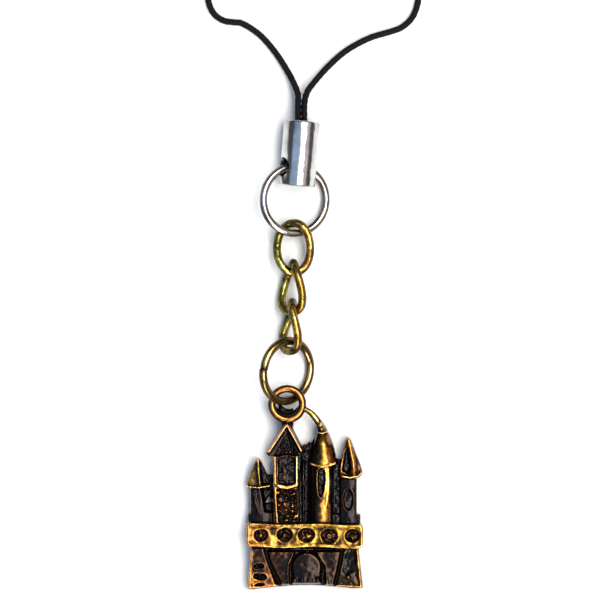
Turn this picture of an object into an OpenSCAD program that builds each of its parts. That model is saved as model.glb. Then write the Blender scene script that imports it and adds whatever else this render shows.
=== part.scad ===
// Castle charm on a short chain, with an end cap and a cord loop.
// It lies on its back: X to the right, Y from the castle's foot to the cord, Z up.
// The origin is on the castle's flat back, foot_drop above its foot. All sizes in mm.

/* [Castle] */
// Width of the parapet band
band_w = 14.7; // [12:0.1:18]
// Height of the parapet band
band_h = 3.1; // [2:0.1:4]
// Thickness of the casting at the parapet band
band_t = 3.9; // [3:0.1:5]
// Height of the base below the band
base_h = 5.35; // [4:0.05:7]
// Thickness of the base
base_t = 3.1; // [2.4:0.1:4]
// Width of the base at the band
base_top_w = 13.5; // [11:0.1:16]
// Width of the base at the foot
base_foot_w = 14.6; // [12:0.1:17]
// Thickness of the curtain wall behind the towers
wall_t = 1.6; // [1:0.1:2.4]
// Height of the curtain wall above the band
wall_h = 5; // [3:0.1:7]
// Distance of the origin above the foot
foot_drop = 10; // [6:0.5:12]

/* [House tower] */
// Centre of the house tower
house_x = -2.35; // [-4:0.05:-1]
// Width of its body
house_w = 3.25; // [2.4:0.05:4]
// Height of its body above the band
house_h = 8.9; // [6:0.1:11]
// Thickness of its body
house_t = 3.1; // [2.4:0.1:4]
// Width of its gable at the eaves
gable_w = 4.2; // [3.4:0.1:5]
// Height of its gable
gable_h = 3.45; // [2.5:0.05:4.5]
// Width of the raised strip along the gable
gable_strip = 0.44; // [0.3:0.02:0.7]

/* [Round tower] */
// Centre of the round tower
round_x = 2.0; // [1.2:0.05:3]
// Radius of its body
round_r = 1.53; // [1.1:0.01:1.9]
// Height of its body above the band
round_h = 7.3; // [5:0.1:9]
// Radius of its roof at the eaves
cone_r = 1.72; // [1.3:0.02:2.2]
// Height of its roof
cone_h = 5.4; // [4:0.1:7]

/* [Turrets] */
// Centre of the left turret
left_x = -5.5; // [-6:0.05:-5]
// Width of the left turret
left_w = 2.75; // [2:0.05:3.2]
// Height of the left turret above the band
left_h = 4.4; // [3:0.1:6]
// Height of the left turret's roof
left_roof_h = 3.8; // [2.5:0.1:5]
// Centre of the right turret
right_x = 5.6; // [5:0.05:6]
// Width of the right turret
right_w = 2.2; // [1.6:0.05:3]
// Height of the right turret above the band
right_h = 5.75; // [4:0.05:8]
// Height of the right turret's roof
right_roof_h = 5.0; // [3:0.1:6]
// Thickness of both turrets
turret_t = 2.7; // [2:0.1:3.6]
// How far a turret's roof stands out on each side
eaves = 0.2; // [0.1:0.05:0.4]

/* [Eye] */
// Outer diameter of the hanging eye
eye_d = 4.8; // [4.4:0.1:5.8]
// Thickness of the eye's round band
eye_wire = 0.96; // [0.8:0.02:1.15]
// Height of the eye's middle above the flat back
eye_z = 2.46; // [2.2:0.02:2.7]
// Gap between the gable's apex and the eye's outer edge
eye_gap = 0.1; // [0:0.05:0.4]
// Distance of the eye to the right of the gable's middle
eye_side = 0.15; // [0:0.05:0.4]

/* [Jump rings] */
// Outer diameter of the brass jump ring
jump_d = 8.65; // [7.5:0.05:10.4]
// Wire diameter of the brass jump ring
jump_wire = 1.05; // [0.85:0.05:1.2]
// Width of the cut in the brass jump ring
jump_cut = 0.25; // [0.1:0.05:0.5]
// Outer diameter of the end cap's ring
ring_d = 9.3; // [8:0.02:12]
// Wire diameter of the end cap's ring
ring_wire = 0.95; // [0.8:0.05:1.1]
// Width of the cut in the end cap's ring
ring_cut = 0.1; // [0.05:0.05:0.3]

/* [Chain links] */
// Outer length of a link
link_l = 7.2; // [5.9:0.05:9]
// Outer width of a link
link_w = 5.2; // [4.3:0.05:6.2]
// Wire diameter of a link
link_wire = 1.06; // [0.85:0.02:1.2]
// Twist between a link's two ends, in degrees
link_twist = 52; // [20:1:60]
// Squareness of a link's oval, where 2 is an ellipse
link_power = 2.3; // [2:0.1:3]

/* [End cap] */
// Outer diameter of the end cap
cap_d = 4.54; // [4.2:0.02:5.6]
// Length of the end cap
cap_l = 8.12; // [7.4:0.02:10]
// Wall of the end cap
cap_wall = 0.4; // [0.25:0.05:0.5]
// Thickness of its closed top
cap_top = 0.5; // [0.3:0.05:0.8]
// Radius of the hole for the cord in the top
cord_hole_r = 1.05; // [0.95:0.05:1.4]
// Radius of the cross hole
cross_r = 1.2; // [1:0.05:1.4]
// Distance of the cross hole above the open end
cross_h = 2.2; // [1.8:0.05:3]
// Lean of the end cap to the right, in degrees
cap_lean = 4.9; // [0:0.1:10]
// Rise of the cross hole's left end, in degrees
cross_rise = 28; // [20:1:35]

/* [Cord] */
// Diameter of the cord
cord_d = 0.75; // [0.6:0.01:0.9]
// Radius of the stopper knot inside the end cap
knot_r = 1.4; // [1.1:0.05:1.5]
// Length of the stopper knot
knot_l = 2.9; // [2.4:0.1:3.2]

/* [Fits and clearances] */
// Play between two wires that hang in each other
wire_play = 0.06; // [0.03:0.01:0.2]
// Gap between a lying piece and the surface under it
floor_gap = 0.02; // [0:0.01:0.1]
// Gap between the knot and the end cap's closed top
knot_gap = 0.05; // [0.02:0.01:0.2]

/* [Hidden] */
$fn = 64;
// Facets of large rings, of the knot and of wires
ring_fn = 96;
knot_fn = 48;
wire_fn = 32;
eps = 0.01;
// How far a cutting solid runs past the face that it cuts
cut_past = 1;

// Heights on the castle, from its foot
band_y = base_h;
towers_y = base_h + band_h;
house_y = towers_y + house_h;
apex_y = house_y + gable_h;
round_y = towers_y + round_h;

// The eye stands on the gable's apex
eye_r = (eye_d - eye_wire) / 2;
eye_c = [house_x + eye_side, apex_y + eye_gap + eye_d / 2 - foot_drop, eye_z];

// How each piece of the chain is turned, as rotate() takes it
jump_turn = [7, 40, 0];
link_3_turn = [-2, -72, -1.5];
link_2_turn = [0, -59, -2];
link_1_turn = [-2, -3, 0];
ring_turn = [1.2, 20.6, -2.5];
// Where each ring is cut, in degrees from its right
jump_cut_at = 176;
ring_cut_at = 85;

// Where the top of a lower wire lies from the bottom of the wire it hangs in, across and up
// (a smaller eye bends away sooner, so the jump ring then hangs lower in it)
castle_shift = [0.34, eye_wire / eye_r, -0.21];
jump_shift = [-0.05, 0.15, 0.7];
link_3_shift = [0.11, 0.13, 0.02];
link_2_shift = [-0.03, 0.07, 0.27];
link_1_shift = [0.07, 0.18, -0.04];
// How far the end cap's ring has slid to the left along the cross hole
ring_slide = 0.28;
// How far the ring's wire lies above the cross hole's axis
ring_lift = -0.35;

// Turning a vector about X, then Y, then Z, as rotate() does
function turn_x(v, a) = [v[0], v[1] * cos(a) - v[2] * sin(a), v[1] * sin(a) + v[2] * cos(a)];
function turn_y(v, a) = [v[0] * cos(a) + v[2] * sin(a), v[1], v[2] * cos(a) - v[0] * sin(a)];
function turn_z(v, a) = [v[0] * cos(a) - v[1] * sin(a), v[0] * sin(a) + v[1] * cos(a), v[2]];
function turned(v, t) = turn_z(turn_y(turn_x(v, t[0]), t[1]), t[2]);

// The centre of the upper piece, from where the top of the lower piece's wire is
function hang(lower_top, shift, wires, upper_half, upper_turn) =
    lower_top - shift - [0, wires / 2 + wire_play, 0] + turned([0, upper_half, 0], upper_turn);

jump_r = (jump_d - jump_wire) / 2;
link_half = (link_l - link_wire) / 2;
link_side = (link_w - link_wire) / 2;
ring_r = (ring_d - ring_wire) / 2;

// The chain is placed from the castle's eye up to the end cap
eye_top = eye_c + [0, eye_r, 0];
jump_c = hang(eye_top, castle_shift, eye_wire + jump_wire, jump_r, jump_turn);
jump_top = jump_c + turned([0, jump_r, 0], jump_turn);
link_3_c = hang(jump_top, jump_shift, jump_wire + link_wire, link_half, link_3_turn);
link_3_top = link_3_c + turned([0, link_half, 0], link_3_turn);
link_2_c = hang(link_3_top, link_3_shift, 2 * link_wire, link_half, link_2_turn);
link_2_top = link_2_c + turned([0, link_half, 0], link_2_turn);
link_1_c = hang(link_2_top, link_2_shift, 2 * link_wire, link_half, link_1_turn);
link_1_top = link_1_c + turned([0, link_half, 0], link_1_turn);
ring_c = hang(link_1_top, link_1_shift, link_wire + ring_wire, ring_r, ring_turn);

// The cross hole: its direction to the right, and its middle on the end cap's axis
cap_turn = [0, cross_rise, -cap_lean];
cross_axis = turned([1, 0, 0], cap_turn);
cap_axis = turned([0, 1, 0], cap_turn);
cross_chord = cap_d / 2 - cap_wall / 2;
ring_reach = sqrt(ring_r * ring_r - cross_chord * cross_chord);
ring_in_cap = ring_c + turned([0, ring_reach, 0], ring_turn) + ring_slide * cross_axis;
cross_c = [ring_in_cap[0], ring_in_cap[1] - ring_lift, cap_d / 2 + floor_gap];
cap_c = cross_c - cross_h * cap_axis;

// The cord's route from one tail to the other: left leg, loop, right leg
cord_route = [
    [-0.76, 47.3, 2.3], [-0.8, 48.3, 2.3], [-0.84, 49.3, 2.28], [-0.84, 50.7, 2.15],
    [-0.88, 52.1, 1.8], [-1.4, 53.5, 1.35], [-2.15, 54.95, 0.9], [-3.7, 57.35, 0.5],
    [-5.6, 59.5, 0.4], [-7.7, 60.9, 0.4], [-8.9, 61.1, 0.4], [-10.1, 61.3, 0.4],
    [-11.2, 62.0, 0.4], [-11.9, 63.2, 0.4], [-12.2, 65, 0.4], [-12.5, 70, 0.4],
    [-13, 78, 0.4], [-12.8, 86, 0.4], [-10.5, 93, 0.4], [-6, 98, 0.4],
    [0, 100.2, 0.4], [6.5, 99, 0.4], [11.5, 95, 0.4], [14.3, 88.5, 0.4],
    [15, 80, 0.4], [14.8, 71.5, 0.4], [14.4, 65.5, 0.4], [14.1, 63.2, 0.4],
    [13.4, 61.6, 0.4], [12.2, 60.5, 0.4], [10.8, 59.95, 0.4], [8.05, 59.1, 0.4],
    [5.15, 57.5, 0.45], [2.75, 55.35, 0.75], [0.9, 53.2, 1.35], [0.25, 52.15, 1.7],
    [-0.04, 50.9, 2.1], [-0.06, 49.3, 2.28], [-0.02, 48.3, 2.3], [0.02, 47.3, 2.3]
];
cord_steps = 2;
cord_sides = 8;
link_rings = 40;
link_sides = 10;

function unit(v) = v / norm(v);

// A point on the smooth curve through the route, at a share f of the stretch after point i
function on_route(p, i, f) =
    let (a = p[max(i - 1, 0)], b = p[i], c = p[i + 1], d = p[min(i + 2, len(p) - 1)])
    0.5 * (2 * b + (c - a) * f + (2 * a - 5 * b + 4 * c - d) * f * f
        + (3 * b - a - 3 * c + d) * f * f * f);
function smooth_route(p, steps) = [
    for (i = [0 : len(p) - 2], s = [0 : steps - 1]) on_route(p, i, s / steps),
    p[len(p) - 1]
];

// Corners of one ring of a tube round point c, between the directions u and v
function tube_ring(c, u, v, r, sides) = [
    for (s = [0 : sides - 1]) c + r * (cos(360 * s / sides) * u + sin(360 * s / sides) * v)
];
// The two triangles between corner s of ring i and the next corner of ring j
function tube_cell(i, j, s, sides) =
    let (t = (s + 1) % sides)
    [[i * sides + s, j * sides + s, j * sides + t], [i * sides + s, j * sides + t, i * sides + t]];

// An open tube that lies nearly flat
module open_tube(path, r, sides) {
    last = len(path) - 1;
    rings = [
        for (i = [0 : last])
            let (along = unit(path[min(i + 1, last)] - path[max(i - 1, 0)]),
                across = unit(cross([0, 0, 1], along)))
            each tube_ring(path[i], across, cross(along, across), r, sides)
    ];
    sides_of = [for (i = [0 : last - 1], s = [0 : sides - 1]) each tube_cell(i, i + 1, s, sides)];
    ends = [[for (s = [0 : sides - 1]) s], [for (s = [0 : sides - 1]) last * sides + sides - 1 - s]];
    polyhedron(points = rings, faces = concat(sides_of, ends), convexity = 6);
}

// A closed tube whose rings stand across the path, with up[i] near the loop's own normal
module closed_tube(path, up, r, sides) {
    n = len(path);
    rings = [
        for (i = [0 : n - 1])
            let (along = unit(path[(i + 1) % n] - path[(i + n - 1) % n]),
                across = unit(cross(up[i], along)))
            each tube_ring(path[i], across, cross(along, across), r, sides)
    ];
    cells = [for (i = [0 : n - 1], s = [0 : sides - 1]) each tube_cell(i, (i + 1) % n, s, sides)];
    polyhedron(points = rings, faces = cells, convexity = 6);
}

// A bent wire ring with a cut of the given width at the given angle
module cut_ring(r, wire, cut, at) {
    gap = cut / r * 180 / PI;
    rotate([0, 0, at + gap / 2])
        rotate_extrude(angle = 360 - gap, $fn = ring_fn)
            translate([r, 0])
                circle(d = wire, $fn = wire_fn);
}

function rounded_power(v) = sign(v) * pow(abs(v), 2 / link_power);

// A curb link: an oval of wire whose ends are twisted apart
module curb_link(centre, turn) {
    flat = [
        for (k = [0 : link_rings - 1])
            let (a = 360 * (k + 0.5) / link_rings)
            [link_side * rounded_power(cos(a)), link_half * rounded_power(sin(a)), 0]
    ];
    twist = [for (p = flat) -link_twist / 2 * p[1] / link_half];
    path = [for (k = [0 : link_rings - 1]) turn_y(flat[k], twist[k])];
    up = [for (a = twist) turn_y([0, 0, 1], a)];
    translate(centre)
        rotate(turn)
            closed_tube(path, up, link_wire / 2, link_sides);
}

module cord_loop() {
    color("#17171c")
        open_tube(smooth_route(cord_route, cord_steps), cord_d / 2, cord_sides);
}

// The half of a disc that lies right of the Y axis
module half_disc(r) {
    intersection() {
        circle(r, $fn = knot_fn);
        translate([0, -r]) square(2 * r);
    }
}

// Both tails are tied into one round stopper knot
module cord_knot() {
    top = cap_l - cap_top - knot_gap;
    color("#1c1c22")
        translate(cap_c)
            rotate(cap_turn)
                translate([0, top - knot_l, 0])
                    rotate([-90, 0, 0])
                        rotate_extrude($fn = knot_fn) {
                            translate([0, knot_r]) half_disc(knot_r);
                            square([knot_r, knot_l - 2 * knot_r]);
                            translate([0, knot_l - knot_r]) half_disc(knot_r);
                        }
}

module ferrule() {
    color("#c9ccd0")
        translate(cap_c)
            rotate(cap_turn)
                difference() {
                    rotate([-90, 0, 0]) cylinder(h = cap_l, d = cap_d, $fn = ring_fn);
                    translate([0, -cut_past, 0]) rotate([-90, 0, 0])
                        cylinder(
                            h = cap_l - cap_top + cut_past,
                            d = cap_d - 2 * cap_wall,
                            $fn = ring_fn
                        );
                    rotate([-90, 0, 0]) cylinder(h = cap_l + cut_past, r = cord_hole_r);
                    translate([-cap_d, cross_h, 0]) rotate([0, 90, 0])
                        cylinder(h = 2 * cap_d, r = cross_r);
                }
}

// The cut of this ring is hidden inside the end cap
module ferrule_ring() {
    color("#b9b7b6")
        translate(ring_c)
            rotate(ring_turn)
                cut_ring(ring_r, ring_wire, ring_cut, ring_cut_at);
}

module link_1() {
    color("#8c7a33") curb_link(link_1_c, link_1_turn);
}

module link_2() {
    color("#8c7a33") curb_link(link_2_c, link_2_turn);
}

module link_3() {
    color("#8c7a33") curb_link(link_3_c, link_3_turn);
}

// The cut of this ring is at its left
module jump_ring() {
    color("#9a7a3c")
        translate(jump_c)
            rotate(jump_turn)
                cut_ring(jump_r, jump_wire, jump_cut, jump_cut_at);
}

// Depth of the casting's recesses, and width of the raised rims round its windows
relief = 0.45;
rim = 0.3;
rim_rise = 0.22;

// Base: the gate with its door, and the hollow under the foot
gate_x = 0.35;
gate_w = 4.2;
gate_h = 4.7;
gate_depth = 1.5;
door_w = 2.6;
door_h = 2.7;
door_t = base_t - gate_depth / 2;
foot_arch = 0.6;
foot_arch_r = 23.4;
foot_fn = 128;
// Base: the panels beside the gate, and the corner blocks
panel_in = 0.6;
panel_top_w = 2.9;
panel_foot_in = 0.1;
panel_foot_w = 0.8;
block_w = 1.9;
block_h = 4.75;
block_in = 0.4;
block_y = 0.4;
block_rise = 0.22;

// Parapet band: rounded corners and a row of dimples with a boss in each
band_corner = 0.6;
dimple_r = 1;
dimple_count = 5;
dimple_pitch = 2.83;
dimple_x = 0.2;
boss_r = 0.5;
boss_h = 0.2;

// Windows: width, height and height of the sill above the band
house_window = [1.8, 3.4, 4.7];
round_window = [1, 3.3, 3.1];
left_window = [1.1, 2.2, 1.1];
right_window = [0.9, 2.9, 1.4];

// Width of the block behind the round tower
round_back_w = 2 * round_r - 0.1;

// Roofs
cone_x = 0.2;
cone_bulge = 1.5;
cone_steps = 8;
cone_tip_r = 0.15;
cone_lip = 0.25;
ridge_w = 0.4;
ridge_tip_w = 0.24;
ridge_h = 0.9;
roof_drop = 0.3;

// Curtain walls: the low one behind the whole row, the higher ones between the towers
low_wall_w = band_w - 2;
low_wall_h = wall_h / 2;
high_wall_h = wall_h + 1.4;
right_wall_h = wall_h + 3;
left_wall_h = wall_h + 1;

// The three-cornered gap between the left turret and the house tower
left_gap_w = 0.95;
left_gap_h = 1.05;
left_gap_y = 2.45;
left_gap_in = 0.1;
left_gap_rise = 0.15;

// The neck under the eye and the curved stem beside it
neck_w = 1.1;
neck_t = 1.2;
neck_depth = 1;
// Share of the eye's round band that the neck reaches into
neck_into = 0.8;
stem_d = 0.6;
stem_at = -20;
// How far below the round roof's tip the stem ends
stem_sink = 1;

// An upright arch, standing on y = 0
module arch(w, h) {
    translate([-w / 2, 0]) square([w, h - w / 2]);
    translate([0, h - w / 2]) circle(w / 2);
}

// The raised rim of a window [width, height, sill] in a face at height z, before it is cut
module window_rim(x, window, z) {
    translate([x, towers_y + window[2] - rim, z - eps])
        linear_extrude(rim_rise + eps)
            arch(window[0] + 2 * rim, window[1] + 2 * rim);
}
module window_cut(x, window, z) {
    translate([x, towers_y + window[2], z - relief])
        linear_extrude(2 * relief)
            arch(window[0], window[1]);
}

// Base with its flared sides, hollow foot, gate, panels and corner blocks
module castle_base() {
    difference() {
        linear_extrude(base_t) difference() {
            polygon([
                [-base_foot_w / 2, 0], [base_foot_w / 2, 0],
                [base_top_w / 2, base_h + eps], [-base_top_w / 2, base_h + eps]
            ]);
            translate([0, foot_arch - foot_arch_r]) circle(foot_arch_r, $fn = foot_fn);
        }
        translate([gate_x, -eps, base_t - gate_depth])
            linear_extrude(gate_depth + eps)
                arch(gate_w, gate_h);
    }
    translate([gate_x, foot_arch, 0]) linear_extrude(door_t) arch(door_w, door_h);
    for (side = [0, 1])
        translate([gate_x, 0, 0]) mirror([side, 0, 0]) linear_extrude(base_t + relief)
            polygon([
                [gate_w / 2 - panel_in, base_h + eps],
                [gate_w / 2 - panel_in + panel_top_w, base_h + eps],
                [gate_w / 2 + panel_foot_in + panel_foot_w, foot_arch],
                [gate_w / 2 + panel_foot_in, foot_arch]
            ]);
    for (side = [0, 1])
        mirror([side, 0, 0])
            translate([base_foot_w / 2 - block_in - block_w, block_y, 0])
                cube([block_w, block_h, base_t + block_rise]);
}

// Parapet band with its row of dimples
module castle_band() {
    first_x = dimple_x - (dimple_count - 1) / 2 * dimple_pitch;
    middle_y = band_y + band_h / 2;
    difference() {
        translate([0, middle_y, 0]) linear_extrude(band_t) {
            square([band_w - 2 * band_corner, band_h], center = true);
            square([band_w, band_h - 2 * band_corner], center = true);
            for (x = [-1, 1], y = [-1, 1])
                translate([x * (band_w / 2 - band_corner), y * (band_h / 2 - band_corner)])
                    circle(band_corner);
        }
        for (i = [0 : dimple_count - 1])
            translate([first_x + i * dimple_pitch, middle_y, band_t - relief])
                cylinder(h = 2 * relief, r = dimple_r);
    }
    for (i = [0 : dimple_count - 1])
        translate([first_x + i * dimple_pitch, middle_y, band_t - relief - eps])
            cylinder(h = boss_h + eps, r = boss_r);
}

// House tower: body, window and gable
module castle_house() {
    difference() {
        union() {
            translate([house_x - house_w / 2, towers_y - eps, 0])
                cube([house_w, house_h + 2 * eps, house_t]);
            window_rim(house_x, house_window, house_t);
        }
        window_cut(house_x, house_window, house_t);
    }
    inner_w = gable_w - 4 * gable_strip;
    inner_h = gable_h * inner_w / gable_w - gable_strip;
    translate([house_x, house_y, 0]) {
        linear_extrude(house_t)
            polygon([[-gable_w / 2, -gable_strip], [gable_w / 2, -gable_strip], [0, gable_h]]);
        linear_extrude(house_t + relief)
            polygon([
                [-gable_w / 2, -gable_strip], [-inner_w / 2, -gable_strip],
                [0, inner_h], [inner_w / 2, -gable_strip],
                [gable_w / 2, -gable_strip], [0, gable_h]
            ]);
    }
}

// Round tower with its slot window and its bulging roof
module castle_round() {
    middle_z = house_t - round_r;
    difference() {
        union() {
            translate([round_x, towers_y - eps, middle_z]) rotate([-90, 0, 0])
                cylinder(h = round_h + eps, r = round_r);
            translate([round_x - round_back_w / 2, towers_y - eps, 0])
                cube([round_back_w, round_h + eps, middle_z]);
        }
        window_cut(round_x, round_window, house_t);
    }
    translate([round_x + cone_x, round_y, 0])
        intersection() {
            translate([0, -cone_lip, middle_z]) rotate([-90, 0, 0]) rotate_extrude()
                polygon([
                    [0, 0], [cone_r, 0],
                    for (i = [0 : cone_steps - 1])
                        let (t = i / cone_steps)
                        [cone_r * (1 - pow(t, cone_bulge)), cone_lip + cone_h * t],
                    [cone_tip_r, cone_lip + cone_h], [0, cone_lip + cone_h]
                ]);
            translate([-cone_r - eps, -2 * cone_lip, 0])
                cube([2 * cone_r + 2 * eps, cone_h + 2 * cone_lip, house_t + cone_r]);
        }
}

// A square turret with its window and a peaked, ridged roof
module castle_turret(x, w, h, roof_h, window) {
    difference() {
        translate([x - w / 2, towers_y - eps, 0]) cube([w, h + 2 * eps, turret_t]);
        window_cut(x, window, turret_t);
    }
    translate([x, towers_y + h, 0]) {
        linear_extrude(turret_t)
            polygon([
                [-w / 2 - eaves, -roof_drop], [w / 2 + eaves, -roof_drop], [0, roof_h]
            ]);
        linear_extrude(turret_t + relief)
            polygon([
                [-ridge_w, -roof_drop], [ridge_w, -roof_drop],
                [ridge_tip_w / 2, roof_h * ridge_h], [-ridge_tip_w / 2, roof_h * ridge_h]
            ]);
    }
}

// Eye, its neck on the gable and the stem to the round tower's roof
module castle_eye() {
    centre = [eye_c[0], eye_c[1] + foot_drop, eye_z];
    translate(centre)
        rotate_extrude($fn = ring_fn)
            translate([eye_r, 0])
                circle(d = eye_wire, $fn = wire_fn);
    translate([house_x - neck_w / 2, apex_y - neck_depth, eye_z - neck_t / 2])
        cube([neck_w, neck_depth + eye_gap + neck_into * eye_wire, neck_t]);
    tip = [round_x + cone_x, round_y + cone_h - stem_sink, house_t - round_r];
    foot = centre + [eye_r * cos(stem_at), eye_r * sin(stem_at), 0];
    run = tip - foot;
    translate(foot)
        rotate([0, acos(run[2] / norm(run)), atan2(run[1], run[0])])
            cylinder(h = norm(run), d = stem_d, $fn = wire_fn);
}

module castle() {
    color("#8a6136")
        translate([0, -foot_drop, 0]) {
            castle_base();
            castle_band();
            translate([-low_wall_w / 2, towers_y - eps, 0])
                cube([low_wall_w, low_wall_h, wall_t]);
            translate([house_x, towers_y - eps, 0])
                cube([round_x - house_x, high_wall_h, wall_t]);
            translate([round_x, towers_y - eps, 0])
                cube([right_x - round_x, right_wall_h, wall_t]);
            castle_house();
            castle_round();
            difference() {
                union() {
                    castle_turret(left_x, left_w, left_h, left_roof_h, left_window);
                    translate([left_x, towers_y - eps, 0])
                        cube([house_x - left_x - house_w / 2 + eps, left_wall_h, wall_t]);
                }
                translate([house_x - house_w / 2 - left_gap_w, towers_y + left_gap_y, -cut_past])
                    linear_extrude(turret_t + 2 * cut_past)
                        polygon([
                            [0, 0],
                            [left_gap_w - left_gap_in, left_gap_rise],
                            [left_gap_w / 2, left_gap_h]
                        ]);
            }
            castle_turret(right_x, right_w, right_h, right_roof_h, right_window);
            castle_eye();
        }
}

cord_loop();
cord_knot();
ferrule();
ferrule_ring();
link_1();
link_2();
link_3();
jump_ring();
castle();
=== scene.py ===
"""Looks for the castle charm: a cast castle on a short chain, a plated end cap and a cord loop.

Lengths in the helpers are millimetres; pieces are scaled to metres when their mesh is made.
"""
import math

import bmesh
import bpy
import numpy as np
from mathutils import Matrix, Vector


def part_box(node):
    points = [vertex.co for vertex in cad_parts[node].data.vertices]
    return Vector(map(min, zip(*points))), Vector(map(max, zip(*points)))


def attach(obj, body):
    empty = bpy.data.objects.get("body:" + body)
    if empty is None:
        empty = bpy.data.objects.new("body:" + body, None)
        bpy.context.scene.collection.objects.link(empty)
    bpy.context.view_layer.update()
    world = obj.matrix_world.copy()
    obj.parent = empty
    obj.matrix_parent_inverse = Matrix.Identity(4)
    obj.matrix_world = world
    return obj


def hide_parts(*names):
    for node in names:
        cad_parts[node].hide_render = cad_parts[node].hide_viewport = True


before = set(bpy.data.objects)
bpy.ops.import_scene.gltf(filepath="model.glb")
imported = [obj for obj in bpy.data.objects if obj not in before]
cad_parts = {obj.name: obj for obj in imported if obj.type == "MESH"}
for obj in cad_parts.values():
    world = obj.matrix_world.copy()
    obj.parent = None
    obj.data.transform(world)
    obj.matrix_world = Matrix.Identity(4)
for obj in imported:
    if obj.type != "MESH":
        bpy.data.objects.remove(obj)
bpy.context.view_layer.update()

MM = 0.001


# ---------------------------------------------------------------- camera
def rgb(r, g, b):
    return (r, g, b, 1.0)


def look_at(obj, target):
    obj.rotation_mode = "QUATERNION"
    obj.rotation_quaternion = (Vector(target) - obj.location).to_track_quat("-Z", "Y")


SENSOR_W = 36.0
VIEW_W = 0.075
CAM_H = 0.6
VIEW_C = Vector((-0.00059, 0.0263, 0.0))

cam_data = bpy.data.cameras.new("camera")
cam_data.sensor_width = SENSOR_W
cam_data.lens = SENSOR_W * CAM_H / VIEW_W
cam_data.clip_start = 0.01
cam_data.clip_end = 10.0
camera = bpy.data.objects.new("camera", cam_data)
camera.location = VIEW_C + Vector((0, 0, CAM_H + 0.002))
bpy.context.scene.collection.objects.link(camera)
bpy.context.scene.camera = camera


# ---------------------------------------------------------------- mesh helpers
def unit(v):
    return v / np.maximum(np.linalg.norm(v, axis=-1, keepdims=True), 1e-12)


def turn_matrix(turn):
    """As OpenSCAD's rotate() turns: about X, then Y, then Z."""
    rx, ry, rz = (math.radians(a) for a in turn)
    m = Matrix.Rotation(rz, 3, "Z") @ Matrix.Rotation(ry, 3, "Y") @ Matrix.Rotation(rx, 3, "X")
    return np.array(m)


def make_piece(name, verts, faces, material=None):
    mesh = bpy.data.meshes.new(name)
    mesh.from_pydata((np.asarray(verts) * MM).tolist(), [], faces)
    mesh.validate()
    mesh.update()
    mesh.shade_smooth()
    obj = bpy.data.objects.new(name, mesh)
    bpy.context.scene.collection.objects.link(obj)
    if material is not None:
        mesh.materials.append(material)
    return obj


def set_attribute(obj, name, values):
    layer = obj.data.attributes.get(name) or obj.data.attributes.new(name, "FLOAT", "POINT")
    layer.data.foreach_set("value", np.asarray(values, np.float32))


def frames_along(path, closed, up=None):
    """Directions along, across and up for each point of a path, with no sudden turns."""
    path = np.asarray(path, float)
    if closed:
        along = unit(np.roll(path, -1, 0) - np.roll(path, 1, 0))
    else:
        along = unit(np.gradient(path, axis=0))
    ups = np.empty_like(path)
    if up is not None:
        ups[:] = up
        ups = unit(ups - along * (ups * along).sum(1, keepdims=True))
    else:
        u = np.array([0.0, 0.0, 1.0])
        for i, t in enumerate(along):
            u = unit(u - t * (u @ t))
            ups[i] = u
    return along, np.cross(ups, along), ups


def tube(path, radius, sides, closed=False, up=None, round_end=0.0):
    """A tube round a path. radius is a number or an array (points, sides). Ends are capped,
    with a rounded edge round_end wide."""
    path = np.asarray(path, float)
    n = len(path)
    r = np.broadcast_to(np.asarray(radius, float).reshape(-1, 1) if np.ndim(radius) == 1
                        else np.asarray(radius, float), (n, sides)).copy()
    along, across, ups = frames_along(path, closed, up)
    a = 2 * np.pi * np.arange(sides) / sides
    rings = [path[:, None, :] + r[..., None] * (np.cos(a)[None, :, None] * across[:, None, :]
             + np.sin(a)[None, :, None] * ups[:, None, :])]
    verts = rings[0].reshape(-1, 3)
    faces = []
    last = n if closed else n - 1
    for i in range(last):
        j = (i + 1) % n
        for s in range(sides):
            t = (s + 1) % sides
            faces.append((i * sides + s, i * sides + t, j * sides + t, j * sides + s))
    if not closed:
        extra = []
        count = len(verts)
        for end, sign in ((0, -1), (n - 1, 1)):
            base = [end * sides + s for s in range(sides)]
            c, t = path[end], along[end] * sign
            prev = base
            for k in range(1, 4):
                f = k / 3 * math.pi / 2
                rr = r[end] - round_end * (1 - math.cos(f))
                p = (c + t * round_end * math.sin(f))[None, :] + rr[:, None] * (
                    np.cos(a)[:, None] * across[end] + np.sin(a)[:, None] * ups[end])
                extra.append(p)
                ring = [count + s for s in range(sides)]
                count += sides
                for s in range(sides):
                    u = (s + 1) % sides
                    quad = (prev[s], prev[u], ring[u], ring[s])
                    faces.append(quad if sign > 0 else quad[::-1])
                prev = ring
            faces.append(tuple(prev) if sign > 0 else tuple(prev[::-1]))
        verts = np.concatenate([verts] + extra)
    return verts, faces


# ---------------------------------------------------------------- noise in numpy
def noise(x, y, size, seed):
    """Smooth noise from -1 to 1 with bumps about size wide."""
    n = 64
    g = np.random.default_rng(seed).random((n, n))
    u, v = x / size + 17.3, y / size + 11.7
    i, j = np.floor(u).astype(int), np.floor(v).astype(int)
    fu, fv = u - i, v - j
    fu, fv = fu * fu * (3 - 2 * fu), fv * fv * (3 - 2 * fv)
    i0, j0, i1, j1 = i % n, j % n, (i + 1) % n, (j + 1) % n
    low = g[i0, j0] * (1 - fu) + g[i1, j0] * fu
    high = g[i0, j1] * (1 - fu) + g[i1, j1] * fu
    return (low * (1 - fv) + high * fv) * 2 - 1


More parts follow.
